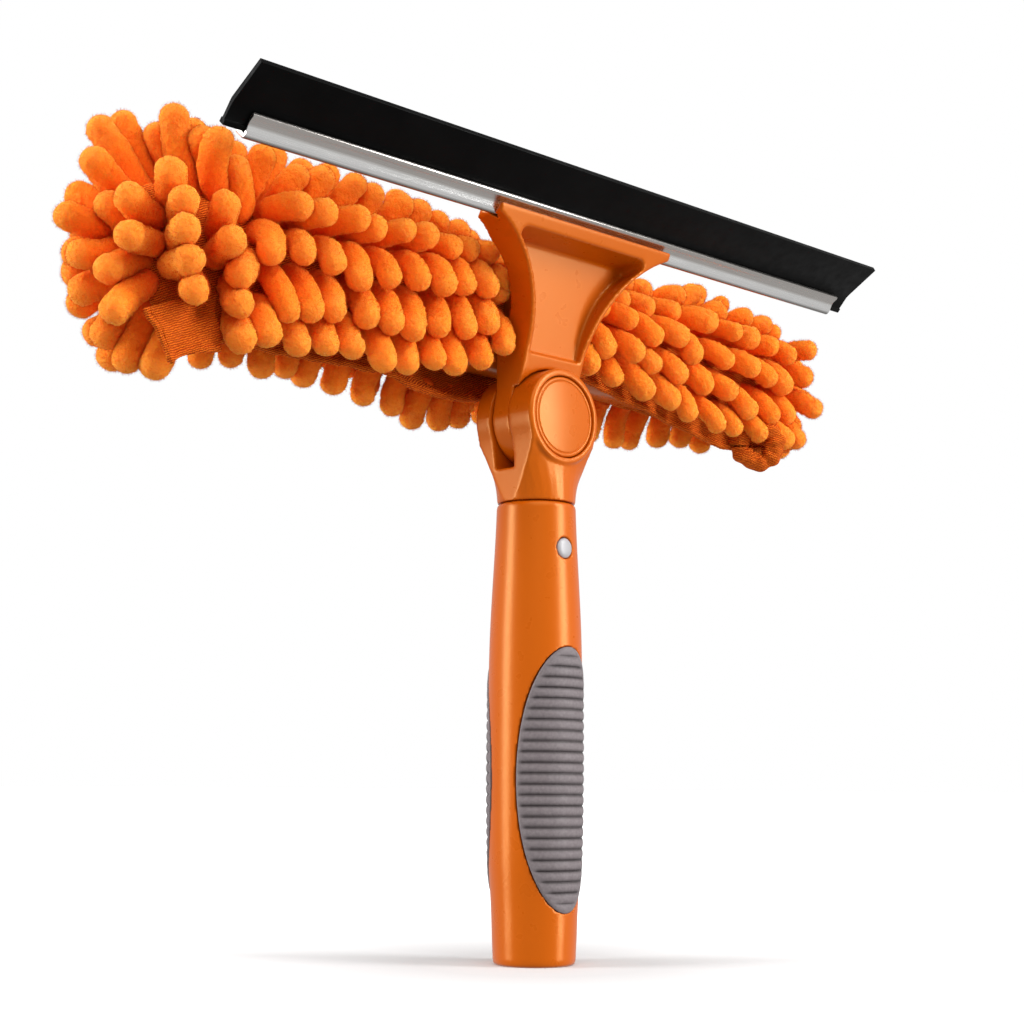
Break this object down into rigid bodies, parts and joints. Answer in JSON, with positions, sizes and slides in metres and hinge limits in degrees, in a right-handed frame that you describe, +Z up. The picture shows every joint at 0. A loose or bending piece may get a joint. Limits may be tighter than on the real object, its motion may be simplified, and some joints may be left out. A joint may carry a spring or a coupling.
{
  "type": "window cleaning squeegee",
  "caption": "Hand-held window cleaner: a rubber blade in a metal channel and a pile scrubber sleeve on one locking swivel head, on a straight handle with soft grips.",
  "frame": {"origin": "middle of the handle's flat bottom face", "axes": "+Z up along the handle, +X along the blade, -Y towards the front, the side with the lock button"},
  "size_m": [0.366, 0.0909, 0.2667],
  "materials": {
    "orange_plastic": "satin",
    "grip_rubber": "matte",
    "white_plastic": "satin",
    "nylon": "satin",
    "steel": "satin",
    "aluminium": "satin",
    "black_rubber": "satin",
    "pile_fabric": "matte"
  },
  "bodies": {
    "handle": {"handle_shell": "orange_plastic", "end_plug": "orange_plastic", "grip_front": "grip_rubber", "grip_back": "grip_rubber", "fork_housing": "orange_plastic", "pivot_pin": "steel", "pivot_cap": "orange_plastic", "lock_spring": "steel", "snap_spring": "steel"},
    "head": {"yoke": "orange_plastic", "blade_channel": "aluminium", "squeegee_rubber": "black_rubber", "channel_screw_left": "steel", "channel_screw_right": "steel", "scrubber_bar": "orange_plastic", "bar_screw_left": "steel", "bar_screw_right": "steel", "scrubber_sleeve": "pile_fabric"},
    "lock": {"lock_button": "orange_plastic", "lock_hub": "nylon"},
    "snap": {"snap_button": "white_plastic"}
  },
  "joints": [
    {"name": "head_swing", "type": "hinge", "parent": "handle", "child": "head", "pos_m": [0, 0, 0.187], "axis": [0, 1, 0], "range_deg": [-60, 60]},
    {"name": "lock_press", "type": "slide", "parent": "handle", "child": "lock", "axis": [0, 1, 0], "range_m": [0, 0.0032], "stiffness_N_per_m": 1500, "springref_m": -0.002, "deforming": ["lock_spring"]},
    {"name": "snap_press", "type": "slide", "parent": "handle", "child": "snap", "axis": [0, 1, 0], "range_m": [0, 0.004], "stiffness_N_per_m": 1000, "springref_m": -0.002, "deforming": ["snap_spring"]}
  ]
}
